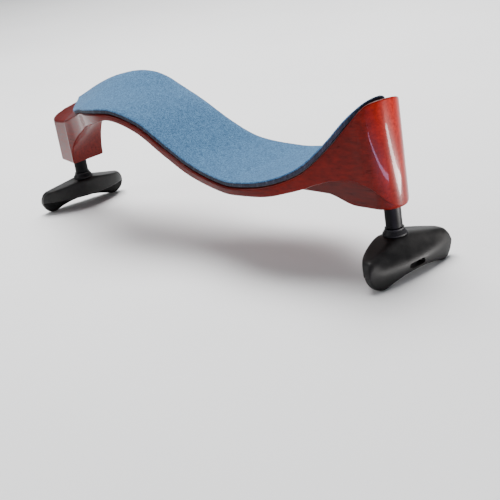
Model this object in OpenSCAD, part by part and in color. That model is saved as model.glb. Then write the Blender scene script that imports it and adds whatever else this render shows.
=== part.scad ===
// Shoulder rest for a full-size violin.
// An S-shaped carved bar with a foam pad on top stands on two screw posts.
// Each post ends in a swivelling rubber foot whose lip hooks over the edge of the violin's back.
// Frame: +X to the tall end, +Z up, origin under the middle of the rest at the lips' lowest points.

/* [Bar] */
// Height of the pad's top at the hump
hump_z = 59.9; // [58:0.1:62]
// Place of the hump along the rest
hump_x = -52; // [-54:0.5:-50]
// Height of the pad's top at the bottom of the valley
valley_z = 35; // [34:0.1:36]
// Place of the valley along the rest
valley_x = 33; // [31:0.5:35]
// Height of the pad's line at the low end's tip
tail_z = 46.6; // [45:0.1:48]
// Height of the pad's line at the tall end's tip
nose_z = 68; // [66:0.1:69]
// Thickness of the bar between its end blocks
bar_t = 3.2; // [2.8:0.1:4]
// Half of the bar's width at the hump
hump_half_w = 21.5; // [20:0.1:23]
// Half of the bar's width at the waist
waist_half_w = 18.9; // [18:0.1:20]
// Half of the bar's width beside the valley
lobe_half_w = 24; // [22:0.1:25]
// Lean of the top at the low end, towards -Y
tail_lean = 26; // [22:0.5:30]

/* [End blocks] */
// Height of the low end block's underside
tail_base_z = 23.4; // [22:0.1:25]
// Height of the tall end block's underside
nose_base_z = 25.6; // [24:0.1:27]
// Half of the low end block's width at its inner wall
tail_half_w = 9.5; // [9:0.1:10.5]
// Radius of the tall end's round nose
nose_r = 10; // [9:0.1:11]
// Half of the keel's width under the tall end
keel_half_w = 7; // [6.5:0.1:7.5]

/* [Pad] */
// Thickness of the double-sided tape under the foam
tape_t = 0.3; // [0.2:0.05:0.5]
// Thickness of the foam
foam_t = 1.4; // [1:0.1:2.5]
// Thickness of the cloth cover
cover_t = 0.5; // [0.4:0.1:0.8]

/* [Posts] */
// Distance from the middle of the rest to each post
post_x = 96.6; // [95:0.1:98]
// Radius of a post's smooth shank
shank_r = 3.1; // [2.8:0.05:3.3]
// Radius of a post's screw thread
thread_r = 2.45; // [2.2:0.05:2.45]
// Length of a post's screw thread
thread_l = 17; // [14:0.5:17]
// Radius of the pivot pin below a shank
pin_r = 1.75; // [1.5:0.05:1.75]

/* [Feet] */
// Length of a foot along the violin's edge
foot_l = 43; // [40:0.5:46]
// Depth of the lip that hooks over the edge
lip_z = 6; // [5:0.1:6.5]
// Height of a foot's top at its post
foot_top_z = 14.5; // [14:0.1:15]
// Height of a foot's top at its ends
foot_end_z = 10.6; // [10:0.1:12]
// Distance from the post to the inside of the lip
lip_x = 6.2; // [5.5:0.1:7]
// Thickness of the lip
lip_t = 3.6; // [3:0.1:4]
// Wall of the rubber sleeve round the core
sleeve_t = 1.6; // [1.4:0.1:1.8]
// Swivel of the low end's foot
tail_yaw = -12.5; // [-20:0.5:0]
// Swivel of the tall end's foot
nose_yaw = -5; // [-15:0.5:5]

/* [Hidden] */
$fn = 64;

// Curves are cut into this many straight steps.
curve_steps = 14;
// Steps along the bar between its two ends.
bar_steps = 48;
// Steps across the bar's top.
across_steps = 4;
// Working length past a cut face.
over = 1;
// Two solids that turn or slide in each other keep this radial gap.
run_gap = 0.05;
// The bar's middle line drifts towards +Y by this share of the way from the tall end's post.
bar_skew = 0.0052;
// The low end's tip lies this far towards -Y of that line.
tip_drift = 3;
// Glue line under the tape.
glue_t = 0.1;
pad_t = glue_t + tape_t + foam_t + cover_t;

// Ends of the bar seen from above. The low end tapers from its corners to a round tip.
tail_tip_x = -108.6;
tail_tip_r = 3;
tail_corner_x = -93;
nose_centre_x = 92.3;
nose_tip_x = nose_centre_x + nose_r;
// The round ends are drawn from this angle, which leaves a small flat at each tip.
tip_turn = 6;
tail_turn = 62;
// The wide part of the bar meets the nose's arc at this angle.
nose_join = 69;
nose_meet_x = nose_centre_x + nose_r * cos(nose_join);

// Arch under the hump, from the low end's inner wall.
tail_wall_x = -91.7;
// The far side's ends here; the near side's runs further and rises more slowly.
arch_far_x = -56.7;
arch_near_x = -40;

// Where the pad's ends lie. The low end's is a tongue with its tip on the far side.
pad_tongue_x = -75;
pad_tongue_tip = [-95, 6];
pad_end_x = 96.5;
pad_end_l = 11.5;
pad_margin = 0.3;

insert_r = 3.5;
insert_l = 10;
thread_gap_r = 2.8;
thread_room = 1.2;
collar_t = 2.5;
collar_r = 4.6;
collar_neck_r = 3.6;
washer_r = 3;
washer_t = 0.5;
clip_r = 2.9;
clip_t = 0.8;
clip_groove_r = 1.35;
clip_gap_w = 1.6;
pocket_r = 3.4;
pocket_t = 2.8;
pin_end = 0.8;

// Foot outlines: radii seen from above, and how far the inner side lies from the post.
foot_outer_r = 100;
foot_inner_r = 31;
foot_inner_x = 5.4;
foot_top_w = 8.4;
foot_side_z = 9.5;
lip_arch_z = 2.5;
lip_arch_w = 30;
slot_l = 8;
slot_w = 2;
slot_z = 4.8;

core_z = lip_z + sleeve_t;
pocket_z = core_z + pocket_t;
groove_z = pocket_z - washer_t - clip_t - run_gap;
shank_z = foot_top_z + collar_t;

// Stations along the rest: place, height of the pad's top, half width,
// lean of the top towards -Y in degrees, and depth of the wood straight down.
stations = [
    [tail_tip_x, tail_z, 3, tail_lean + 4, 20],
    [tail_corner_x, 50.7, tail_half_w, tail_lean, bar_t],
    [-84, 53.9, 10.9, tail_lean - 1, bar_t],
    [pad_tongue_x, 57, 12.8, tail_lean - 4, bar_t],
    [-67, 58.9, 15.7, 17.6, bar_t],
    [-60, 59.7, 18.5, 14.4, bar_t],
    [hump_x, hump_z, 20.6, 10, bar_t],
    [-44, 59.2, hump_half_w, 5, bar_t - 0.3],
    [-36, 57.8, 20.8, 1.2, bar_t - 0.5],
    [-28, 55.6, 19.8, 0, bar_t - 0.4],
    [-18, 51.9, waist_half_w, 0, bar_t],
    [-3, 44.1, waist_half_w + 0.1, 0, bar_t + 0.2],
    [12, 37.9, 20, 0, bar_t + 0.2],
    [valley_x, valley_z, 23.2, 0, bar_t],
    [44, 35.5, lobe_half_w, 0, bar_t + 0.1],
    [56, 37.1, 22.4, 0, 4.2],
    [66, 40.3, 19.3, 0, 5.2],
    [74, 45, 16.4, 0, 7.5],
    [82, 51.9, 13.6, 0, 13],
    [90, 59.8, 10.9, 0, 21.4],
    [nose_meet_x, 65.2, 9.3, 0, 29.6],
    [nose_tip_x, nose_z, 5, 0, 40.2]];
last = len(stations) - 1;

// Smooth curve through column k of the stations, at x.
function slope_at(k, i) =
    let (a = stations[max(i - 1, 0)], b = stations[min(i + 1, last)])
    (b[k] - a[k]) / (b[0] - a[0]);
function span_of(x, i = 0) = i < last - 1 && x > stations[i + 1][0] ? span_of(x, i + 1) : i;
function along(k, x) =
    let (i = span_of(x), a = stations[i], b = stations[i + 1], h = b[0] - a[0], t = (x - a[0]) / h)
    (1 + 2 * t) * pow(1 - t, 2) * a[k] + t * pow(1 - t, 2) * h * slope_at(k, i)
    + t * t * (3 - 2 * t) * b[k] - t * t * (1 - t) * h * slope_at(k, i + 1);

function top_z(x) = along(1, x);
function lean(x) = max(along(3, x), 0);
// Straight-down share of a thickness measured at right angles to the top line.
function steep(x) = norm([1, top_z(x + 0.5) - top_z(x - 0.5)]);

// Middle line of the bar seen from above.
function middle(x) =
    bar_skew * (post_x - x) - tip_drift * max(0, (tail_corner_x - x) / (tail_corner_x - tail_tip_x));

// A point at x, u across the top from its middle line, and depth below the pad's top.
function point(x, u, depth) =
    let (t = lean(x), d = depth * steep(x))
    [x, middle(x) + u * cos(t) + d * sin(t), top_z(x) + u * sin(t) - d * cos(t)];

// Half width of the wood at x.
function wood_w(x) =
    x > nose_meet_x ? sqrt(pow(nose_r, 2) - pow(x - nose_centre_x, 2))
    : x < tail_tip_x + tail_tip_r ? sqrt(pow(tail_tip_r, 2) - pow(tail_tip_x + tail_tip_r - x, 2))
    : x < tail_corner_x ? tail_tip_r + (tail_half_w - tail_tip_r) * (x - tail_tip_x) / (tail_corner_x - tail_tip_x)
    : along(2, x);

// Lower edge of the wood: flat under the low end, then the arch, then the depth below the top.
function under(x, side) =
    let (top = point(x, side * wood_w(x), pad_t), t = lean(x), d = along(4, x),
        shell = top + d * steep(x) * [0, sin(t), -cos(t)],
        end_x = side > 0 ? arch_far_x : arch_near_x,
        u = min(max((x - tail_wall_x) / (end_x - tail_wall_x), 0), 1),
        share = side > 0 ? sqrt(u * (2 - u)) : pow(u, 0.42),
        apex = point(end_x, side * wood_w(end_x), pad_t + along(4, end_x))[2])
    x > valley_x ? top - [0, 0, d]
    : x > end_x ? shell
    : [x, top[1] + share * (shell[1] - top[1]),
        min(shell[2], tail_base_z + share * (apex - tail_base_z))];

// Points across the bar from near to far at one depth, and points along a straight line.
function row(x, near, far, depth) =
    [for (k = [0:across_steps]) point(x, near + (far - near) * k / across_steps, depth)];
function line(a, b) = [for (k = [0:across_steps]) a + (b - a) * k / across_steps];

function wood_ring(x) =
    let (w = wood_w(x))
    concat(row(x, -w, w, pad_t), line(under(x, 1), under(x, -1)));

// Places of the rings: the round tip, the block, the arch, the bar and the round nose.
wood_places = concat(
    [for (i = [0:5]) tail_tip_x + tail_tip_r * (1 - cos(tip_turn + (tail_turn - tip_turn) * i / 5))],
    [for (x = [-105, -101, -97, tail_corner_x]) x],
    [for (i = [0:9]) arch_far_x - (arch_far_x - tail_wall_x) * cos(9 * i)],
    [for (i = [0:bar_steps]) arch_far_x + (nose_meet_x - arch_far_x) * i / bar_steps],
    [for (i = [1:8]) nose_centre_x + nose_r * cos(nose_join - (nose_join - tip_turn) * i / 8)]);

// Closed solid through rings that have the same number of points.
module loft(rings) {
    n = len(rings);
    m = len(rings[0]);
    sides = [for (i = [0:n - 2], j = [0:m - 1])
        let (a = m * i + j, b = m * i + (j + 1) % m)
        each [[a, b, b + m], [a, b + m, a + m]]];
    e = m * (n - 1);
    start = [for (j = [0:m / 2 - 2]) each [[j, m - 2 - j, j + 1], [j, m - 1 - j, m - 2 - j]]];
    end = [for (j = [0:m / 2 - 2]) each [[e + j, e + j + 1, e + m - 2 - j], [e + j, e + m - 2 - j, e + m - 1 - j]]];
    polyhedron(points = [for (r = rings) each r], faces = concat(start, sides, end), convexity = 6);
}

// Sides of the pad at x, measured across the top.
function tongue(x, x1, u1, roundness) =
    let (r = (x1 - x) / (x1 - pad_tongue_tip[0]))
    x > x1 ? u1 : pad_tongue_tip[1] + (u1 - pad_tongue_tip[1]) * pow(max(1 - r * r, 0), roundness);
function pad_w(x) =
    let (r = (x - pad_end_x + pad_end_l) / pad_end_l)
    (along(2, x) - pad_margin) * (r < 0 ? 1 : sqrt(max(1 - r * r, 0)));
function pad_ring(x, d0, d1) =
    let (near = tongue(x, pad_tongue_x, -pad_w(x), 1), far = tongue(x, pad_tongue_x - 10, pad_w(x), 0.5))
    concat(row(x, near, far, d0), row(x, far, near, d1));
pad_places = concat(
    [for (i = [0:7]) pad_tongue_x - (pad_tongue_x - pad_tongue_tip[0]) * cos(tip_turn + 10 * i)],
    [for (i = [0:bar_steps]) pad_tongue_x + (pad_end_x - pad_end_l - pad_tongue_x) * i / bar_steps],
    [for (i = [1:8]) pad_end_x - pad_end_l * (1 - sin((90 - tip_turn) * i / 8))]);

// One layer of the pad between two depths.
module pad_layer(d0, d1) {
    loft([for (x = pad_places) pad_ring(x, d0, d1)]);
}

// Extrudes a side view across the whole width of the rest.
module across(w) {
    rotate([90, 0, 0]) linear_extrude(w, center = true) children();
}

function bez(p, t) =
    pow(1 - t, 3) * p[0] + 3 * t * pow(1 - t, 2) * p[1] + 3 * t * t * (1 - t) * p[2] + pow(t, 3) * p[3];

// Keel below the tall end: a narrower rib with a round nose that holds the insert.
module keel() {
    keel_x = nose_tip_x - keel_half_w;
    rib_z = 28.8;
    rib_x = [40, 72, 79, 86];
    step = [[rib_x[1], rib_z], [rib_x[2], rib_z], [rib_x[2] + 1, nose_base_z], [rib_x[3], nose_base_z]];
    inside_z = 38.5;
    intersection() {
        across(2 * keel_half_w) polygon(concat(
            [[rib_x[0], rib_z]],
            [for (i = [0:curve_steps - 1]) bez(step, i / curve_steps)],
            [[rib_x[3], nose_base_z], [nose_tip_x + over, nose_base_z], [nose_tip_x + over, inside_z],
                [rib_x[2], inside_z], [rib_x[0], rib_z + 1.8]]));
        union() {
            translate([keel_x, 0, 0]) cylinder(r = keel_half_w, h = nose_z);
            translate([0, -keel_half_w, 0]) cube([keel_x, 2 * keel_half_w, nose_z]);
        }
    }
}

// Pocket for an insert, and above it room for the screw thread.
module post_bore(x, base_z) {
    translate([x, 0, base_z - over]) cylinder(r = insert_r + run_gap, h = insert_l + run_gap + over);
    translate([x, 0, base_z]) cylinder(r = thread_gap_r, h = thread_l + thread_room);
}

module bar() {
    color([0.55, 0.12, 0.06]) difference() {
        union() {
            loft([for (x = wood_places) wood_ring(x)]);
            keel();
        }
        post_bore(-post_x, tail_base_z);
        post_bore(post_x, nose_base_z);
    }
}

module insert(x, base_z) {
    color([0.78, 0.6, 0.3]) translate([x, 0, base_z]) difference() {
        cylinder(r = insert_r, h = insert_l);
        translate([0, 0, -over]) cylinder(r = thread_r + run_gap, h = insert_l + 2 * over);
    }
}

module left_insert() { insert(-post_x, tail_base_z); }
module right_insert() { insert(post_x, nose_base_z); }

module pad_tape() { color([0.85, 0.85, 0.8]) pad_layer(cover_t + foam_t, cover_t + foam_t + tape_t); }
module pad_foam() { color([0.08, 0.09, 0.13]) pad_layer(cover_t, cover_t + foam_t); }
module pad_cover() { color([0.35, 0.52, 0.68]) pad_layer(0, cover_t); }

// A post turned in one piece: pin end, clip groove, pivot pin, smooth shank and screw thread.
module post(x, base_z) {
    color([0.06, 0.06, 0.07]) translate([x, 0, 0]) rotate_extrude() polygon([
        [0, groove_z - pin_end], [pin_r, groove_z - pin_end], [pin_r, groove_z],
        [clip_groove_r, groove_z], [clip_groove_r, groove_z + clip_t], [pin_r, groove_z + clip_t],
        [pin_r, shank_z], [shank_r, shank_z], [shank_r, base_z],
        [thread_r, base_z], [thread_r, base_z + thread_l - 0.8], [thread_r - 0.8, base_z + thread_l],
        [0, base_z + thread_l]]);
}

module left_post() { post(-post_x, tail_base_z); }
module right_post() { post(post_x, nose_base_z); }

// Flared collar between a shank and its foot.
module collar(x) {
    color([0.09, 0.09, 0.1]) translate([x, 0, foot_top_z]) rotate_extrude() polygon([
        [pin_r + run_gap, 0], [collar_r, 0], [collar_r, 0.5], [collar_neck_r, collar_t - 0.5],
        [collar_neck_r, collar_t], [pin_r + run_gap, collar_t]]);
}

module left_collar() { collar(-post_x); }
module right_collar() { collar(post_x); }

// Puts a foot's piece, drawn with its lip on the +X side, under a post.
module at_tail() { translate([-post_x, 0, 0]) rotate([0, 0, tail_yaw]) mirror([1, 0, 0]) children(); }
module at_nose() { translate([post_x, 0, 0]) rotate([0, 0, nose_yaw]) children(); }

// Foot without its channel, shrunk by s on every side.
module foot_body(s) {
    outer_x = lip_x + lip_t;
    half_l = foot_l / 2 - s;
    top = foot_top_z - s;
    intersection() {
        translate([outer_x - foot_outer_r, 0, 0]) cylinder(r = foot_outer_r - s, h = foot_top_z, $fn = 128);
        translate([foot_inner_r - foot_inner_x, 0, 0]) cylinder(r = foot_inner_r - s, h = foot_top_z);
        rotate([90, 0, 90]) linear_extrude(4 * outer_x, center = true) polygon([
            [-half_l, 0], [half_l, 0], [half_l, foot_end_z - s], [foot_top_w / 2, top],
            [-foot_top_w / 2, top], [-half_l, foot_end_z - s]]);
        across(foot_l) polygon([
            [-outer_x + s, 0], [outer_x - s, 0], [outer_x - s, lip_z], [foot_top_w / 2, top],
            [-foot_top_w / 2, top], [-outer_x + s, foot_side_z - s]]);
    }
}

module foot_core() {
    color([0.12, 0.12, 0.13]) difference() {
        intersection() {
            foot_body(sleeve_t);
            translate([-foot_l, -foot_l, core_z]) cube([2 * foot_l, 2 * foot_l, foot_l]);
        }
        translate([0, 0, core_z - over]) cylinder(r = pocket_r, h = pocket_t + over);
        cylinder(r = pin_r + run_gap, h = foot_l);
    }
}

module left_foot_core() { at_tail() foot_core(); }
module right_foot_core() { at_nose() foot_core(); }

// Rubber sleeve: closed under the core, with the lip, its arched lower edge and its slot.
module foot_sleeve() {
    pin_hole_r = pin_r + 0.6;
    arch_r = (pow(lip_arch_w / 2, 2) + pow(lip_arch_z, 2)) / (2 * lip_arch_z);
    color([0.1, 0.1, 0.11]) difference() {
        foot_body(0);
        intersection() {
            foot_body(sleeve_t);
            translate([-foot_l, -foot_l, core_z]) cube([2 * foot_l, 2 * foot_l, foot_l]);
        }
        translate([lip_x + lip_t - foot_outer_r, 0, -over])
            cylinder(r = foot_outer_r - lip_t, h = lip_z + over, $fn = 128);
        translate([0, 0, lip_arch_z - arch_r]) rotate([0, 90, 0]) cylinder(r = arch_r, h = foot_l, $fn = 128);
        translate([0, 0, core_z]) cylinder(r = pin_hole_r, h = foot_l);
        translate([lip_x - over, 0, slot_z]) lip_slot();
    }
}

module lip_slot() {
    reach = slot_l / 2 - slot_w / 2;
    translate([0, -reach, -slot_w / 2]) cube([foot_l, 2 * reach, slot_w]);
    for (side = [-1, 1])
        translate([0, side * reach, 0]) rotate([0, 90, 0]) cylinder(r = slot_w / 2, h = foot_l);
}

module left_foot_sleeve() { at_tail() foot_sleeve(); }
module right_foot_sleeve() { at_nose() foot_sleeve(); }

module foot_washer(x) {
    color([0.7, 0.7, 0.72]) translate([x, 0, pocket_z - washer_t]) difference() {
        cylinder(r = washer_r, h = washer_t);
        translate([0, 0, -over]) cylinder(r = pin_r + run_gap, h = washer_t + 2 * over);
    }
}

module left_foot_washer() { foot_washer(-post_x); }
module right_foot_washer() { foot_washer(post_x); }

// Spring clip that snaps into the pin's groove from the side.
module post_clip(x) {
    color([0.6, 0.6, 0.62]) translate([x, 0, groove_z]) difference() {
        cylinder(r = clip_r, h = clip_t);
        translate([0, 0, -over]) cylinder(r = clip_groove_r, h = clip_t + 2 * over);
        translate([0, -clip_gap_w / 2, -over]) cube([clip_r + over, clip_gap_w, clip_t + 2 * over]);
    }
}

module left_post_clip() { post_clip(-post_x); }
module right_post_clip() { post_clip(post_x); }

bar();
left_insert();
right_insert();
pad_tape();
pad_foam();
pad_cover();
left_post();
right_post();
left_collar();
right_collar();
left_foot_core();
right_foot_core();
left_foot_sleeve();
right_foot_sleeve();
left_foot_washer();
right_foot_washer();
left_post_clip();
right_post_clip();
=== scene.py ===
"""Violin shoulder rest: camera, light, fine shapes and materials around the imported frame."""

import math

import bmesh
import bpy
from mathutils import Matrix, Vector, noise


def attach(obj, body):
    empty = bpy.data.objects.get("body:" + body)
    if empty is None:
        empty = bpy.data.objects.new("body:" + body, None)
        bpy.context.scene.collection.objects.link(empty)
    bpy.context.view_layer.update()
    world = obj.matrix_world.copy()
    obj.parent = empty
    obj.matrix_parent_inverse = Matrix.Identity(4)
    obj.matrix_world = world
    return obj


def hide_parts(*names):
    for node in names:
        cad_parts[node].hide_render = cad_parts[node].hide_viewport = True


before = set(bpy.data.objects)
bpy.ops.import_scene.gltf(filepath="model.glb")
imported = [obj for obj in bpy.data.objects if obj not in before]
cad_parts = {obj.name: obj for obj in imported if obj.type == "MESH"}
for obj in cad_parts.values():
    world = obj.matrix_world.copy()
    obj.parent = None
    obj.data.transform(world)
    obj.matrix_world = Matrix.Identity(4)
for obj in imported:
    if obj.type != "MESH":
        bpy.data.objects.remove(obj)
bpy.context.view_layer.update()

# Everything below is worked out in millimetres and turned into metres by build_mesh().
MM = 0.001

# ---------------------------------------------------------------- driving dimensions
POST_X = 96.6
TAIL_BASE_Z = 23.4
NOSE_BASE_Z = 25.6
TAIL_YAW = math.radians(-12.5)
NOSE_YAW = math.radians(-5)

TAPE_T = 0.3
FOAM_T = 1.4
COVER_T = 0.5
PAD_T = 2.3  # the three layers and the glue under them

THREAD_R = 2.45
THREAD_L = 17.0
THREAD_PITCH = 0.8
THREAD_DEPTH = 0.45
SHANK_R = 3.1
PIN_R = 1.75
SHANK_Z = 17.0
GROOVE_Z = 9.05
CLIP_T = 0.8
GROOVE_R = 1.35
POCKET_R = 3.55  # room for the insert
POCKET_L = 10.05
BORE_R = 2.8  # room for the screw above the insert
BORE_ROOM = 1.2
TOOL_OVER = 1.0  # how far a cutting tool reaches outside what it cuts

TAIL_TIP_X = -108.6
TAIL_TIP_R = 3.0
TAIL_CORNER_X = -93.0
TAIL_HALF_W = 9.5
TAIL_WALL_X = -91.7
ARCH_FAR_X = -56.7
ARCH_NEAR_X = -40.0
ARCH_NEAR_POWER = 0.42  # near side of the arch, where 0.5 would be a parabola
VALLEY_X = 33.0
NOSE_CENTRE_X = 92.3
NOSE_R = 10.0
NOSE_MEET_X = 95.88
NOSE_TIP_X = 102.3
NOSE_LEAN = math.radians(-8)
LEAN_START_X = 71.7
LEAN_END_X = 90.0
PAD_TONGUE_X = -75.0
PAD_FAR_TONGUE_X = -85.0
PAD_TONGUE_TIP = (-95.0, 6.0)
PAD_END_X = 96.5
PAD_END_L = 11.5
PAD_MARGIN = 0.3  # from the pad's edge to the wood's
BAR_SKEW = 0.0052
TIP_DRIFT = 3.0
EDGE_R = 0.9  # rounding of the lacquered edges

# Down the length of the bar: x, height of the pad's top, half width, lean in degrees, wood depth.
STATIONS = (
    (TAIL_TIP_X, 46.6, 3, 30, 20), (TAIL_CORNER_X, 50.7, TAIL_HALF_W, 26, 3.2), (-84, 53.9, 10.9, 25, 3.2),
    (PAD_TONGUE_X, 57, 12.8, 22, 3.2), (-67, 58.9, 15.7, 17.6, 3.2), (-60, 59.7, 18.5, 14.4, 3.2),
    (-52, 59.9, 20.6, 10, 3.2), (-44, 59.2, 21.5, 5, 2.9), (-36, 57.8, 20.8, 1.2, 2.7),
    (-28, 55.6, 19.8, 0, 2.8), (-18, 51.9, 18.9, 0, 3.2), (-3, 44.1, 19, 0, 3.4),
    (12, 37.9, 20, 0, 3.4), (VALLEY_X, 35, 23.2, 0, 3.2), (44, 35.5, 24, 0, 3.3),
    (56, 37.1, 22.4, 0, 4.2), (66, 40.3, 19.3, 0, 5.2), (74, 45, 16.4, 0, 7.5),
    (82, 51.5, 13.6, 0, 12.6), (90, 59.5, 10.9, 0, 21.1), (NOSE_MEET_X, 65, 9.3, 0, 29.4),
    (NOSE_TIP_X, 68.2, 5, 0, 40.4))
HEIGHT, HALF_W, TILT, DEPTH = 1, 2, 3, 4  # columns of STATIONS after x


# ---------------------------------------------------------------- small helpers
def spread(a, b, steps):
    """Evenly spaced values from a to b, both included."""
    return [a + (b - a) * i / steps for i in range(steps + 1)]


def mix(a, b, share):
    """The value at a share of the way from a to b."""
    return a + (b - a) * share


def build_mesh(name, points, faces, smooth_angle=40):
    """A closed mesh object from points in millimetres, with its normals outwards."""
    mesh = bpy.data.meshes.new(name)
    mesh.from_pydata([Vector(p) * MM for p in points], [], faces)
    bm = bmesh.new()
    bm.from_mesh(mesh)
    bmesh.ops.remove_doubles(bm, verts=bm.verts, dist=0.002 * MM)
    bmesh.ops.dissolve_degenerate(bm, edges=bm.edges, dist=0.001 * MM)
    bmesh.ops.recalc_face_normals(bm, faces=bm.faces)
    bm.to_mesh(mesh)
    bm.free()
    piece = bpy.data.objects.new(name, mesh)
    bpy.context.scene.collection.objects.link(piece)
    shade(piece, smooth_angle)
    return piece


def shade(piece, angle):
    """Smooth shading, except where faces meet at more than the angle."""
    piece.data.polygons.foreach_set("use_smooth", [True] * len(piece.data.polygons))
    piece.data.set_sharp_from_angle(angle=math.radians(angle))


def loft(name, rings, smooth_angle=40):
    """A closed solid through rings that have the same number of points."""
    count = len(rings[0])
    points = [p for ring in rings for p in ring]
    faces = []
    for i in range(len(rings) - 1):
        for j in range(count):
            a, b = count * i + j, count * i + (j + 1) % count
            faces.append((a, b, b + count, a + count))
    faces.append(tuple(range(count)))
    faces.append(tuple(range(len(points) - 1, len(points) - count - 1, -1)))
    return build_mesh(name, points, faces, smooth_angle)


def apply_modifiers(piece):
    """Bakes the piece's modifiers into its mesh."""
    depsgraph = bpy.context.evaluated_depsgraph_get()
    done = bpy.data.meshes.new_from_object(piece.evaluated_get(depsgraph))
    piece.modifiers.clear()
    piece.data = done


def combine(piece, tools, operation):
    """Exact Boolean with each tool in turn. The tools are removed."""
    for tool in tools:
        step = piece.modifiers.new("step", "BOOLEAN")
        step.operation = operation
        step.solver = "EXACT"
        step.object = tool
        bpy.context.view_layer.update()
        apply_modifiers(piece)
        bpy.data.objects.remove(tool)


def circle(segments):
    """Angles of evenly spaced points round a circle."""
    return [2 * math.pi * i / segments for i in range(segments)]


def cylinder(name, x, z0, z1, r):
    """An upright round tool with its axis at y = 0."""
    return loft(name, [[(x + r * math.cos(t), r * math.sin(t), z) for t in circle(48)] for z in (z0, z1)])


# ---------------------------------------------------------------- shape of the bar
def slope_at(k, i):
    """Slope of column k at station i, from its neighbours."""
    a, b = STATIONS[max(i - 1, 0)], STATIONS[min(i + 1, len(STATIONS) - 1)]
    return (b[k] - a[k]) / (b[0] - a[0])


def along(k, x):
    """Column k at x, on a smooth curve through the stations."""
    i = max(n for n in range(len(STATIONS) - 1) if n == 0 or x >= STATIONS[n][0])
    a, b = STATIONS[i], STATIONS[i + 1]
    h = b[0] - a[0]
    t = (x - a[0]) / h
    return ((1 + 2 * t) * (1 - t) ** 2 * a[k] + t * (1 - t) ** 2 * h * slope_at(k, i)
            + t * t * (3 - 2 * t) * b[k] - t * t * (1 - t) * h * slope_at(k, i + 1))


def lean(x):
    """Tilt of the top across the bar: towards -Y at the low end and towards +Y at the tall end."""
    t = min(max((x - LEAN_START_X) / (LEAN_END_X - LEAN_START_X), 0), 1)
    return math.radians(max(along(TILT, x), 0)) + NOSE_LEAN * t


def steep(x):
    """Depth straight down for each millimetre of thickness at right angles to the top line."""
    return math.hypot(1, along(HEIGHT, min(x + 0.5, NOSE_TIP_X)) - along(HEIGHT, max(x - 0.5, TAIL_TIP_X)))


def middle(x):
    """Middle line of the bar seen from above."""
    drift = max(0, (TAIL_CORNER_X - x) / (TAIL_CORNER_X - TAIL_TIP_X))
    return BAR_SKEW * (POST_X - x) - TIP_DRIFT * drift


def point(x, u, depth):
    """u across the top from the middle line, and depth below the pad's top."""
    t, d = lean(x), depth * steep(x)
    return Vector((x, middle(x) + u * math.cos(t) + d * math.sin(t),
                   along(HEIGHT, x) + u * math.sin(t) - d * math.cos(t)))


def wood_w(x, inset=0.0):
    """Half width of the wood at x, on the outline moved inwards, or 0 beyond its ends."""
    if x > NOSE_MEET_X:
        return math.sqrt(max((NOSE_R - inset) ** 2 - (x - NOSE_CENTRE_X) ** 2, 0))
    if x < TAIL_TIP_X + TAIL_TIP_R:
        return math.sqrt(max((TAIL_TIP_R - inset) ** 2 - (TAIL_TIP_X + TAIL_TIP_R - x) ** 2, 0))
    if x < TAIL_CORNER_X:
        return mix(TAIL_TIP_R, TAIL_HALF_W, (x - TAIL_TIP_X) / (TAIL_CORNER_X - TAIL_TIP_X)) - inset
    return along(HALF_W, x) - inset


def under(x, side):
    """Lower edge of the wood: flat under the low end, then the arch, then the depth below the top."""
    top, t, d = point(x, side * wood_w(x), PAD_T), lean(x), along(DEPTH, x)
    if x > VALLEY_X:
        return top - Vector((0, 0, d))
    shell = top + d * steep(x) * Vector((0, math.sin(t), -math.cos(t)))
    end_x = ARCH_FAR_X if side > 0 else ARCH_NEAR_X
    if x > end_x:
        return shell
    u = min(max((x - TAIL_WALL_X) / (end_x - TAIL_WALL_X), 0), 1)
    share = math.sqrt(u * (2 - u)) if side > 0 else u ** ARCH_NEAR_POWER
    apex = point(end_x, side * wood_w(end_x), PAD_T + along(DEPTH, end_x)).z
    return Vector((x, mix(top.y, shell.y, share), min(shell.z, mix(TAIL_BASE_Z, apex, share))))


def drop(inset, r):
    """How far an edge rounded to r lies below its flat, at inset from the side."""
    return r - math.sqrt(max(r * r - (r - min(inset, r)) ** 2, 0))


def wood_ring(x):
    """Section of the wood with its four long edges rounded."""
    low = {side: under(x, side) for side in (-1, 1)}
    high = {side: point(x, side * wood_w(x), PAD_T) for side in (-1, 1)}
    tall = min((high[s] - low[s]).length for s in (-1, 1))
    r = min(EDGE_R, tall * 0.4)
    insets = [r * (1 - math.sin(math.radians(a))) for a in (90, 72, 54, 36, 18, 0)]
    to_end = min(NOSE_TIP_X - x, x - TAIL_TIP_X)
    half = max(wood_w(x), 1e-6)

    def rows(side):
        down = (low[side] - high[side]).normalized()
        top, bottom = [], []
        for s in insets:
            w = wood_w(x, s)
            fall = drop(min(s, to_end) if w == 0 else s, r)
            top.append(point(x, side * w, PAD_T) + down * fall)
            share = 0.5 + 0.5 * side * w / half
            bottom.append(low[-1].lerp(low[1], share) - down * fall)
        return top, bottom

    near_top, near_bottom = rows(-1)
    far_top, far_bottom = rows(1)
    crown = [point(x, f * wood_w(x, r), PAD_T) + (near_top[-1] - point(x, -wood_w(x, r), PAD_T))
             for f in (-0.6, -0.2, 0.2, 0.6)]
    belly = [far_bottom[-1].lerp(near_bottom[-1], f) for f in (0.25, 0.5, 0.75)]
    return near_top + crown + far_top[::-1] + far_bottom + belly + near_bottom[::-1]


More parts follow.
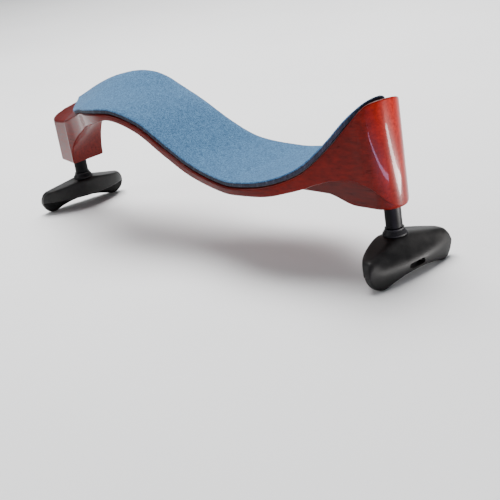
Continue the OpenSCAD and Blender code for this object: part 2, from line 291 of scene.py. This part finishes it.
def wood_places():
    """Ring places, close together at the round ends and under the start of the arch."""
    tip = [TAIL_TIP_X + TAIL_TIP_R * (1 - math.cos(math.radians(a))) for a in (3, 8, 16, 26, 38, 52, 68, 80)]
    block = spread(TAIL_TIP_X + TAIL_TIP_R + 0.5, TAIL_CORNER_X, 12) + [TAIL_CORNER_X + 0.6, TAIL_WALL_X]
    arch = [mix(TAIL_WALL_X, ARCH_FAR_X, 1 - math.cos(math.radians(3 * i))) for i in range(1, 30)]
    body = spread(ARCH_FAR_X, NOSE_MEET_X, 130)
    nose = [NOSE_CENTRE_X + NOSE_R * math.cos(math.radians(a)) for a in
            (66, 61, 56, 51, 46, 41, 36, 31, 26, 22, 18, 14, 11, 8, 5, 2.5)]
    return tip + block + arch + body + nose


# Keel below the tall end: side view of its lower line, and its width.
RIB_Z = 28.8
RIB_T = 1.8
RIB_X = (40, 72, 79, 86)  # rib starts, step down starts, full height is reached, step down ends
KEEL_HALF_W = 7.0
KEEL_NOSE_X = 95.25
KEEL_TOP_Z = 38.5


def keel_low(x):
    """Lower line of the keel: the rib, a smooth step down, then flat under the post."""
    if x <= RIB_X[1]:
        return RIB_Z
    if x >= RIB_X[3]:
        return NOSE_BASE_Z
    t = (x - RIB_X[1]) / (RIB_X[3] - RIB_X[1])
    return mix(RIB_Z, NOSE_BASE_Z, t * t * (3 - 2 * t))


def keel_ring(x):
    """Section of the keel with its two lower edges rounded."""
    low = keel_low(x)
    rise = max(x - RIB_X[0], 0) / (RIB_X[2] - RIB_X[0])
    high = mix(RIB_Z + RIB_T, KEEL_TOP_Z, min(rise, 1))
    r = min(EDGE_R, 0.45 * (high - low))
    past = max(x - KEEL_NOSE_X, 0)
    side = []
    for a in (90, 70, 50, 30, 10, 0):
        s = r * (1 - math.sin(math.radians(a)))
        reach = KEEL_HALF_W - s
        w = math.sqrt(max(reach * reach - past * past, 0))
        gone = KEEL_HALF_W - past if w == 0 else s
        side.append((w, low + drop(min(s, gone), r)))
    side.insert(0, (side[0][0], high))
    return [Vector((x, w, z)) for w, z in side] + [Vector((x, -w, z)) for w, z in side[::-1]]


def make_bar():
    """Lacquered bar: the bent board, the keel joined to it, and the two bores from below."""
    bar = loft("shaped_bar", [wood_ring(x) for x in wood_places()])
    nose = [KEEL_NOSE_X + KEEL_HALF_W * math.sin(math.radians(a)) for a in
            (0, 12, 24, 35, 45, 54, 62, 69, 75, 80, 84, 87)]
    keel = loft("keel", [keel_ring(x) for x in spread(RIB_X[0], KEEL_NOSE_X - 0.5, 60) + nose])
    combine(bar, [keel], "UNION")
    for side, base_z in ((-1, TAIL_BASE_Z), (1, NOSE_BASE_Z)):
        x, start = side * POST_X, base_z - TOOL_OVER
        pocket = cylinder("pocket", x, start, base_z + POCKET_L, POCKET_R)
        bore = cylinder("bore", x, start, base_z + THREAD_L + BORE_ROOM, BORE_R)
        combine(bar, [pocket, bore], "DIFFERENCE")
    shade(bar, 32)
    crease_at(bar, TAIL_CORNER_X)
    finish_piece(bar, "rest_bar", lacquer(), ["bar"])


def crease_at(piece, x):
    """Marks the edges that lie in one section as sharp, for a crisp upright corner."""
    mesh = piece.data
    sharp = mesh.attributes.get("sharp_edge") or mesh.attributes.new("sharp_edge", "BOOLEAN", "EDGE")
    for edge in mesh.edges:
        if all(abs(mesh.vertices[v].co.x / MM - x) < 0.01 for v in edge.vertices):
            sharp.data[edge.index].value = True


# ---------------------------------------------------------------- the pad's three layers
def tongue(x, x1, u1, roundness):
    """Edge of the pad where it narrows to its rounded tongue."""
    if x > x1:
        return u1
    r = (x1 - x) / (x1 - PAD_TONGUE_TIP[0])
    return PAD_TONGUE_TIP[1] + (u1 - PAD_TONGUE_TIP[1]) * max(1 - r * r, 0) ** roundness


def pad_w(x):
    """Half width of the pad before its tongue, round at the tall end."""
    r = (x - PAD_END_X + PAD_END_L) / PAD_END_L
    return (along(HALF_W, x) - PAD_MARGIN) * (1 if r < 0 else math.sqrt(max(1 - r * r, 0)))


def pad_sides(x):
    """Near and far edge of the pad at x, from the middle line."""
    return tongue(x, PAD_TONGUE_X, -pad_w(x), 1), tongue(x, PAD_FAR_TONGUE_X, pad_w(x), 0.5)


def pad_places(gap):
    """Ring places, gap apart, and closer together at the two round ends."""
    turn = [math.radians(a) for a in range(4, 90, 4)]
    tip = [PAD_TONGUE_X - (PAD_TONGUE_X - PAD_TONGUE_TIP[0]) * math.cos(t) for t in turn]
    start = PAD_END_X - PAD_END_L
    steps = round((start - PAD_TONGUE_X) / gap)
    end = [start + PAD_END_L * math.sin(t) for t in turn]
    return tip + spread(PAD_TONGUE_X, start, steps) + end


def pad_ring(x, d0, d1, edge_r, ragged, inset=0.0):
    """Section of one layer: rounded upper edges, cut sides that wander a little."""
    near, far = pad_sides(x)
    inset = min(inset, (far - near) * 0.2)
    near, far = near + inset, far - inset
    r = min(edge_r, (far - near) * 0.2)

    def side(edge, inward, seed):
        line = []
        for a in (0, 30, 60, 90):
            s = r * (1 - math.sin(math.radians(a)))
            line.append((edge + inward * s, d0 + drop(s, r)))
        for share in (0.35, 0.7, 1):
            line.append((edge, mix(d0 + r, d1, share)))
        return [(u - inward * ragged * (noise.noise(Vector((x * 1.9, d * 1.5, seed))) - 0.5), d)
                for u, d in line]

    near_side, far_side = side(near, 1, 3.1), side(far, -1, 7.7)
    inner = [mix(near_side[0][0], far_side[0][0], f) for f in (0.1, 0.25, 0.4, 0.5, 0.6, 0.75, 0.9)]
    ring = near_side[::-1] + [(u, d0) for u in inner] + far_side
    ring += [(u, d1) for u in inner[::-1]]
    return [point(x, u, d) for u, d in ring]


def pad_layer(name, d0, d1, edge_r, ragged, gap, inset=0.0):
    """One layer between two depths below the pad's top."""
    return loft(name, [pad_ring(x, d0, d1, edge_r, ragged, inset) for x in pad_places(gap)], 50)


def make_pad():
    """Felt cover on thin foam, stuck down with tape."""
    top = COVER_T + FOAM_T
    tape = pad_layer("tape_layer", top, top + TAPE_T, 0, 0, 2.0, inset=0.8)
    finish_piece(tape, "rest_bar", film(), ["pad_tape"])
    foam = pad_layer("foam_layer", COVER_T, top, 0.12, 0.22, 0.6)
    finish_piece(foam, "rest_bar", foam_look(), ["pad_foam"])
    cover = pad_layer("felt_cover", 0, COVER_T, 0.3, 0.1, 0.8)
    finish_piece(cover, "rest_bar", felt(), ["pad_cover"])


# ---------------------------------------------------------------- posts
def make_post(side_name, side, base_z):
    """Turned post: pin with a clip groove, chamfered shank and a cut screw thread."""
    chamfer, run_out = 0.35, 0.8
    body = [(PIN_R - 0.25, GROOVE_Z - 0.8), (PIN_R, GROOVE_Z - 0.55), (PIN_R, GROOVE_Z),
            (GROOVE_R, GROOVE_Z), (GROOVE_R, GROOVE_Z + CLIP_T), (PIN_R, GROOVE_Z + CLIP_T),
            (PIN_R, SHANK_Z), (SHANK_R - chamfer, SHANK_Z), (SHANK_R, SHANK_Z + chamfer),
            (SHANK_R, base_z - chamfer), (SHANK_R - chamfer, base_z - 0.02),
            (THREAD_R - THREAD_DEPTH, base_z)]
    turns = circle(40)
    rings = [[(side * POST_X + r * math.cos(t), r * math.sin(t), z) for t in turns] for r, z in body]
    end_z = base_z + THREAD_L - 0.01
    for z in spread(base_z + 0.05, end_z, 200):
        cut = THREAD_DEPTH * max(min((z - base_z) / THREAD_PITCH, (end_z - z) / run_out, 1), 0)
        tip = chamfer * max(0, 1 - (end_z - z) / 0.6)
        ring = []
        for t in turns:
            phase = (z / THREAD_PITCH - t / (2 * math.pi)) % 1
            flank = min(max((1 - abs(2 * phase - 1)) * 1.3 - 0.15, 0), 1)
            r = THREAD_R - THREAD_DEPTH + cut * flank - tip
            ring.append((side * POST_X + r * math.cos(t), r * math.sin(t), z))
        rings.append(ring)
    post = loft(f"{side_name}_turned_post", rings, 35)
    finish_piece(post, f"{side_name}_screw", black_enamel(), [f"{side_name}_post"])


# ---------------------------------------------------------------- feet
FOOT_L = 43.0
LIP_Z = 6.0
FOOT_TOP_Z = 14.5
FOOT_END_Z = 10.6
LIP_X = 6.2
LIP_T = 3.6
FOOT_OUTER_R = 100.0
FOOT_INNER_R = 31.0
FOOT_INNER_X = 5.4
FOOT_TOP_W = 8.4
FOOT_SIDE_Z = 9.5
LIP_ARCH = (2.5, 30.0)
END_ROUND = 5.5
SLOT_REACH = 3.0
SLOT_R = 1.0
SLOT_Z = 4.8
PIN_HOLE_Z = 7.6
PIN_GAP = 0.6


def foot_section(y):
    """Outline of the foot at y: x and z of each corner, and how much the corner is rounded."""
    half_l, outer_x = FOOT_L / 2, LIP_X + LIP_T
    full, high_full = [math.sqrt(1 - (max(abs(y) - (half_l - r), 0) / r) ** 2) for r in (END_ROUND, 3)]
    outer = outer_x - FOOT_OUTER_R + math.sqrt(FOOT_OUTER_R ** 2 - y * y)
    inner = FOOT_INNER_R - FOOT_INNER_X - math.sqrt(FOOT_INNER_R ** 2 - y * y)
    fall = max(abs(y) - FOOT_TOP_W / 2, 0) / (half_l - FOOT_TOP_W / 2)
    top = mix(FOOT_TOP_Z, FOOT_END_Z, fall)
    arch_r = (LIP_ARCH[1] ** 2 / 4 + LIP_ARCH[0] ** 2) / (2 * LIP_ARCH[0])
    low = max(LIP_ARCH[0] - arch_r + math.sqrt(max(arch_r ** 2 - y * y, 0)), 0)
    slant = (outer_x - FOOT_TOP_W / 2) / (FOOT_TOP_Z - LIP_Z)
    high_x = min(outer_x - (top - LIP_Z) * slant, outer - 0.4)
    climb = (outer_x + min(inner, -FOOT_TOP_W / 2)) / (outer_x - FOOT_TOP_W / 2)
    side_z = min(mix(FOOT_SIDE_Z, FOOT_TOP_Z, climb), top - 0.6)
    inner_top = max(-FOOT_TOP_W / 2, inner + 0.5)
    corners = [(outer, low, 1.7), (outer, LIP_Z + 0.6, 2.4), (high_x, top, 2.2), (inner_top, top, 1.3),
               (inner, side_z, 1.2), (inner, LIP_Z, 0.7), (outer - LIP_T, LIP_Z, 0.9),
               (outer - LIP_T, low, 1.7)]
    core_x = (outer + inner) / 2 + 0.8
    squeeze = 0.7 + 0.3 * full
    return [(mix(core_x, x, squeeze), mix(LIP_Z, z, full if z < LIP_Z else high_full), r)
            for x, z, r in corners]


def rounded(corners):
    """The same outline with each corner turned into a short curve."""
    steps = 5
    outline = []
    for i, (x, z, r) in enumerate(corners):
        here = Vector((x, z))
        before, after = Vector(corners[i - 1][:2]), Vector(corners[(i + 1) % len(corners)][:2])
        start = here.lerp(before, min(r / max((before - here).length, 1e-6), 0.48))
        end = here.lerp(after, min(r / max((after - here).length, 1e-6), 0.48))
        for k in range(steps + 1):
            t = k / steps
            outline.append(start * (1 - t) ** 2 + here * 2 * t * (1 - t) + end * t * t)
    return outline


def foot_place(side):
    """From the foot's own drawing, with its lip on +X, to under its post."""
    yaw = TAIL_YAW if side < 0 else NOSE_YAW
    place = Matrix.Translation((side * POST_X, 0, 0)) @ Matrix.Rotation(yaw, 4, "Z")
    return place @ Matrix.Scale(side, 4, (1, 0, 0))


def slot_tool(place):
    """Round-ended window through the lip."""
    turns = [(end, math.radians(a + turn)) for end, turn in ((1, -90), (-1, 90)) for a in range(0, 181, 15)]
    outline = [(end * SLOT_REACH + SLOT_R * math.cos(t), SLOT_Z + SLOT_R * math.sin(t)) for end, t in turns]
    rings = [[place @ Vector((x, y, z)) for y, z in outline] for x in (LIP_X - TOOL_OVER, LIP_X + 2 * LIP_T)]
    return loft("slot_tool", rings)


def make_foot(side_name, side):
    """Rubber sleeve with its hooked lip, window, and room for the core and the pin."""
    place = foot_place(side)
    straight = FOOT_L / 2 - END_ROUND
    ends = [straight + END_ROUND * math.sin(math.radians(a)) for a in range(6, 90, 6)]
    ends.append(FOOT_L / 2 - 0.005)
    ys = [-y for y in reversed(ends)] + spread(-straight, straight, 48) + ends
    rings = [[place @ Vector((p.x, y, p.y)) for p in rounded(foot_section(y))] for y in ys]
    sleeve = loft(f"{side_name}_rubber_foot", rings, 50)
    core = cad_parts[f"{side_name}_foot_core"].copy()
    bpy.context.scene.collection.objects.link(core)
    hole = cylinder("pin_hole", side * POST_X, PIN_HOLE_Z, FOOT_TOP_Z + TOOL_OVER, PIN_R + PIN_GAP)
    combine(sleeve, [slot_tool(place), hole, core], "DIFFERENCE")
    shade(sleeve, 38)
    finish_piece(sleeve, f"{side_name}_foot", rubber(), [f"{side_name}_foot_sleeve"])


# ---------------------------------------------------------------- materials
def new_material(name):
    """A material with its Principled shader, the nodes and the links."""
    made = bpy.data.materials.new(name)
    made.use_nodes = True
    nodes, links = made.node_tree.nodes, made.node_tree.links
    return made, nodes, links, nodes["Principled BSDF"]


def coordinates(nodes, links, scale):
    """Object coordinates, stretched by scale."""
    place = nodes.new("ShaderNodeTexCoord")
    mapping = nodes.new("ShaderNodeMapping")
    mapping.inputs["Scale"].default_value = scale
    links.new(place.outputs["Object"], mapping.inputs["Vector"])
    return mapping.outputs["Vector"]


def noise_at(nodes, links, scale, size, detail, rough):
    """Noise over the object, size in cycles a metre."""
    made = nodes.new("ShaderNodeTexNoise")
    made.inputs["Scale"].default_value = size
    made.inputs["Detail"].default_value = detail
    made.inputs["Roughness"].default_value = rough
    links.new(coordinates(nodes, links, scale), made.inputs["Vector"])
    return made.outputs["Fac"]


def ramp(nodes, links, value, stops):
    """Colours along a value: stops are (place, (r, g, b))."""
    made = nodes.new("ShaderNodeValToRGB")
    band = made.color_ramp
    while len(band.elements) < len(stops):
        band.elements.new(0.5)
    for element, (place, colour) in zip(band.elements, stops):
        element.position = place
        element.color = (*colour, 1)
    links.new(value, made.inputs["Fac"])
    return made.outputs["Color"]


def shades(nodes, links, value, low, high):
    """A grey level from low to high along a value, for roughness."""
    made = nodes.new("ShaderNodeMapRange")
    for socket, number in zip(("From Min", "From Max", "To Min", "To Max"), (0.3, 0.7, low, high)):
        made.inputs[socket].default_value = number
    links.new(value, made.inputs["Value"])
    return made.outputs["Result"]


def multiplied(nodes, links, a, b):
    """One colour times the other. Mix has several sockets called A, B and Result, so these go by number."""
    made = nodes.new("ShaderNodeMix")
    made.data_type = "RGBA"
    made.blend_type = "MULTIPLY"
    made.inputs["Factor"].default_value = 1.0
    links.new(a, made.inputs[6])
    links.new(b, made.inputs[7])
    return made.outputs[2]


def bumped(nodes, links, shader, height, strength, distance):
    """Fine relief from a height."""
    made = nodes.new("ShaderNodeBump")
    made.inputs["Strength"].default_value = strength
    made.inputs["Distance"].default_value = distance
    links.new(height, made.inputs["Height"])
    links.new(made.outputs["Normal"], shader.inputs["Normal"])


def lacquer():
    """Red-brown stained maple under a clear gloss coat, with faint grain along the bar."""
    made, nodes, links, shader = new_material("lacquered_maple")
    grain = noise_at(nodes, links, (0.12, 1, 1), 900, 5, 0.65)
    cloud = noise_at(nodes, links, (0.6, 1, 1), 45, 2, 0.5)
    fine = ramp(nodes, links, grain, [(0.3, (0.075, 0.0013, 0.0002)), (0.55, (0.125, 0.0028, 0.0003)),
                                      (0.8, (0.19, 0.0065, 0.0006))])
    broad = ramp(nodes, links, cloud, [(0.3, (0.62, 0.6, 0.6)), (0.7, (1, 1, 1))])
    links.new(multiplied(nodes, links, fine, broad), shader.inputs["Base Color"])
    links.new(shades(nodes, links, grain, 0.26, 0.4), shader.inputs["Roughness"])
    shader.inputs["Coat Weight"].default_value = 0.5
    shader.inputs["Coat Roughness"].default_value = 0.05
    shader.inputs["Coat IOR"].default_value = 1.22
    shader.inputs["Specular IOR Level"].default_value = 0.08
    bumped(nodes, links, shader, grain, 0.05, 0.0001)
    return made


def felt():
    """Blue felt: matted fibres, mottled in two sizes, with a soft sheen."""
    made, nodes, links, shader = new_material("blue_felt")
    patch = noise_at(nodes, links, (1, 1, 1), 420, 3, 0.6)
    fibre = noise_at(nodes, links, (1, 1.6, 1), 1300, 3, 0.8)
    base = ramp(nodes, links, patch, [(0.3, (0.036, 0.108, 0.215)), (0.7, (0.052, 0.14, 0.265))])
    fine = ramp(nodes, links, fibre, [(0.36, (0.38, 0.44, 0.5)), (0.5, (1, 1, 1)), (0.64, (1.9, 1.7, 1.5))])
    links.new(multiplied(nodes, links, base, fine), shader.inputs["Base Color"])
    shader.inputs["Roughness"].default_value = 0.95
    shader.inputs["Specular IOR Level"].default_value = 0.15
    shader.inputs["Sheen Weight"].default_value = 0.12
    shader.inputs["Sheen Roughness"].default_value = 0.5
    bumped(nodes, links, shader, fibre, 0.55, 0.0003)
    return made


def foam_look():
    """Dark closed-cell foam with cut pores and fine knife lines."""
    made, nodes, links, shader = new_material("dark_foam")
    pore = nodes.new("ShaderNodeTexVoronoi")
    pore.inputs["Scale"].default_value = 2600
    links.new(coordinates(nodes, links, (1, 1, 1)), pore.inputs["Vector"])
    line = noise_at(nodes, links, (1, 1, 0.15), 1500, 3, 0.6)
    dark = ramp(nodes, links, line, [(0.35, (0.006, 0.008, 0.018)), (0.6, (0.02, 0.024, 0.042)),
                                     (0.75, (0.085, 0.09, 0.125))])
    links.new(dark, shader.inputs["Base Color"])
    shader.inputs["Roughness"].default_value = 0.85
    bumped(nodes, links, shader, pore.outputs["Distance"], 0.5, 0.0002)
    return made


def film():
    """Grey double-sided tape with a faint fibre."""
    made, nodes, links, shader = new_material("grey_tape")
    fibre = noise_at(nodes, links, (0.3, 1, 1), 1400, 4, 0.6)
    links.new(ramp(nodes, links, fibre, [(0.3, (0.03, 0.03, 0.033)), (0.7, (0.07, 0.07, 0.075))]),
              shader.inputs["Base Color"])
    links.new(shades(nodes, links, fibre, 0.35, 0.55), shader.inputs["Roughness"])
    return made


def rubber():
    """Black rubber with a fine moulded grain and a greyish bloom."""
    made, nodes, links, shader = new_material("black_rubber")
    bloom = noise_at(nodes, links, (1, 1, 1), 140, 4, 0.6)
    grain = noise_at(nodes, links, (1, 1, 1), 2600, 3, 0.6)
    links.new(ramp(nodes, links, bloom, [(0.36, (0.003, 0.003, 0.0032)), (0.66, (0.013, 0.0125, 0.012))]),
              shader.inputs["Base Color"])
    links.new(shades(nodes, links, bloom, 0.34, 0.5), shader.inputs["Roughness"])
    shader.inputs["Specular IOR Level"].default_value = 0.22
    bumped(nodes, links, shader, grain, 0.22, 0.00012)
    return made


def black_enamel():
    """Satin black plating on turned steel: faint rings from the lathe."""
    made, nodes, links, shader = new_material("satin_black_steel")
    ring = noise_at(nodes, links, (0.02, 0.02, 1), 3500, 2, 0.5)
    wear = noise_at(nodes, links, (1, 1, 1), 220, 3, 0.6)
    links.new(ramp(nodes, links, wear, [(0.35, (0.002, 0.002, 0.0025)), (0.7, (0.005, 0.005, 0.006))]),
              shader.inputs["Base Color"])
    links.new(shades(nodes, links, ring, 0.36, 0.48), shader.inputs["Roughness"])
    shader.inputs["Specular IOR Level"].default_value = 0.08
    bumped(nodes, links, shader, ring, 0.04, 0.00003)
    return made


def nylon(name, colour, rough):
    """Moulded nylon with a fine eroded finish."""
    made, nodes, links, shader = new_material(name)
    grain = noise_at(nodes, links, (1, 1, 1), 1800, 3, 0.6)
    pale = tuple(c * 1.6 for c in colour)
    links.new(ramp(nodes, links, grain, [(0.35, colour), (0.7, pale)]), shader.inputs["Base Color"])
    links.new(shades(nodes, links, grain, rough, rough + 0.14), shader.inputs["Roughness"])
    shader.inputs["Specular IOR Level"].default_value = 0.2
    bumped(nodes, links, shader, grain, 0.12, 0.0001)
    return made


def metal(name, dark, light, rough):
    """Turned metal: rings round the axis and slight staining."""
    made, nodes, links, shader = new_material(name)
    ring = noise_at(nodes, links, (0.05, 0.05, 1), 2600, 3, 0.6)
    stain = noise_at(nodes, links, (1, 1, 1), 320, 3, 0.6)
    links.new(ramp(nodes, links, stain, [(0.35, dark), (0.65, light)]), shader.inputs["Base Color"])
    links.new(shades(nodes, links, ring, rough, rough + 0.15), shader.inputs["Roughness"])
    shader.inputs["Metallic"].default_value = 1.0
    bumped(nodes, links, shader, ring, 0.1, 0.00006)
    return made


def paint(piece, material):
    """Gives a piece one material."""
    piece.data.materials.clear()
    piece.data.materials.append(material)


def finish_piece(piece, body, material, nodes):
    """Paints a piece, hangs it on its body and hides the CAD nodes it stands for."""
    paint(piece, material)
    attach(piece, body)
    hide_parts(*nodes)


def paint_frame_nodes():
    """Materials for the CAD nodes that stay on show."""
    looks = {
        "insert": metal("turned_brass", (0.45, 0.27, 0.09), (0.72, 0.5, 0.2), 0.22),
        "collar": nylon("collar_black", (0.005, 0.005, 0.006), 0.42),
        "foot_core": nylon("core_black", (0.02, 0.02, 0.022), 0.42),
        "foot_washer": metal("washer_steel", (0.35, 0.35, 0.36), (0.56, 0.56, 0.57), 0.25),
        "post_clip": metal("clip_steel", (0.2, 0.2, 0.21), (0.4, 0.4, 0.41), 0.3)}
    for part, material in looks.items():
        for side_name in ("left", "right"):
            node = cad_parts[f"{side_name}_{part}"]
            node.material_slots[0].material = material


# ---------------------------------------------------------------- camera, light and floor
CAMERA_AT = (0.32677, -0.27100, 0.1512)
CAMERA_AIM = (0.03965, -0.0200, 0.0060)
CAMERA_ROLL = math.radians(-9.48)


def facing(place, aim):
    """At place, looking at aim."""
    place, aim = Vector(place), Vector(aim)
    return Matrix.Translation(place) @ (aim - place).to_track_quat("-Z", "Y").to_matrix().to_4x4()


def make_camera():
    """Long lens from the right and in front, rolled a little."""
    data = bpy.data.cameras.new("camera")
    data.sensor_width = 36
    data.lens = 75.42
    data.clip_start = 0.01
    camera = bpy.data.objects.new("camera", data)
    camera.matrix_world = facing(CAMERA_AT, CAMERA_AIM) @ Matrix.Rotation(CAMERA_ROLL, 4, "Z")
    bpy.context.scene.collection.objects.link(camera)
    bpy.context.scene.camera = camera


def area_light(name, place, aim, size, power, colour=(1, 1, 1)):
    """A soft light that the camera doesn't see itself."""
    data = bpy.data.lights.new(name, "AREA")
    data.shape = "RECTANGLE"
    data.size, data.size_y = size
    data.energy = power
    data.color = colour
    light = bpy.data.objects.new(name, data)
    light.matrix_world = facing(place, aim)
    light.visible_camera = False
    bpy.context.scene.collection.objects.link(light)
    return light


def make_glint(name, start, end, width, power, colour):
    """A strip light flat on the floor, facing up, that the round nose mirrors as an upright streak.

    start and end are measured from the nose's axis. The camera doesn't see the strip itself."""
    axis = Vector((NOSE_CENTRE_X * MM, 0, 0.001))
    a, b = axis + Vector((*start, 0)), axis + Vector((*end, 0))
    away = (b - a).normalized()
    across = Vector((-away.y, away.x, 0))
    light = area_light(name, a, b, (width, (b - a).length), power, colour)
    turned = Matrix((across, away, across.cross(away))).transposed().to_4x4()
    light.matrix_world = Matrix.Translation((a + b) / 2) @ turned


def make_studio():
    """Plain pale floor, a big soft light overhead and softer ones round the sides."""
    reach = 6.0 / MM
    corners = [(x * reach, y * reach, 0) for x, y in ((-1, -1), (1, -1), (1, 1), (-1, 1))]
    floor = build_mesh("floor", corners, [(0, 1, 2, 3)])
    made, nodes, links, shader = new_material("pale_floor")
    tone = noise_at(nodes, links, (1, 1, 1), 6, 2, 0.5)
    links.new(ramp(nodes, links, tone, [(0.3, (0.82, 0.82, 0.82)), (0.7, (0.86, 0.86, 0.86))]),
              shader.inputs["Base Color"])
    shader.inputs["Roughness"].default_value = 0.7
    paint(floor, made)
    world = bpy.data.worlds.new("studio")
    world.use_nodes = True
    sky = world.node_tree.nodes["Background"]
    sky.inputs["Color"].default_value = (0.93, 0.95, 1, 1)
    sky.inputs["Strength"].default_value = 0.3
    bpy.context.scene.world = world
    target = (0, 0, 0.03)
    area_light("overhead", (-0.25, 0.25, 0.9), target, (0.7, 0.7), 22)
    area_light("front_left", (-0.5, -0.6, 0.45), target, (0.3, 0.4), 1.6)
    area_light("back_panel", (-0.7, 0.8, 0.45), target, (1.2, 0.6), 3)
    make_glint("glint_white", (0.06, 0.056), (0.31, -0.001), 0.038, 4.2, (1, 0.97, 0.95))
    make_glint("glint_violet", (0.09, -0.03), (0.06, -0.27), 0.014, 0.5, (0.7, 0.55, 1))


make_camera()
make_studio()
make_bar()
make_pad()
for side_name, side, base_z in (("left", -1, TAIL_BASE_Z), ("right", 1, NOSE_BASE_Z)):
    make_post(side_name, side, base_z)
    make_foot(side_name, side)
paint_frame_nodes()
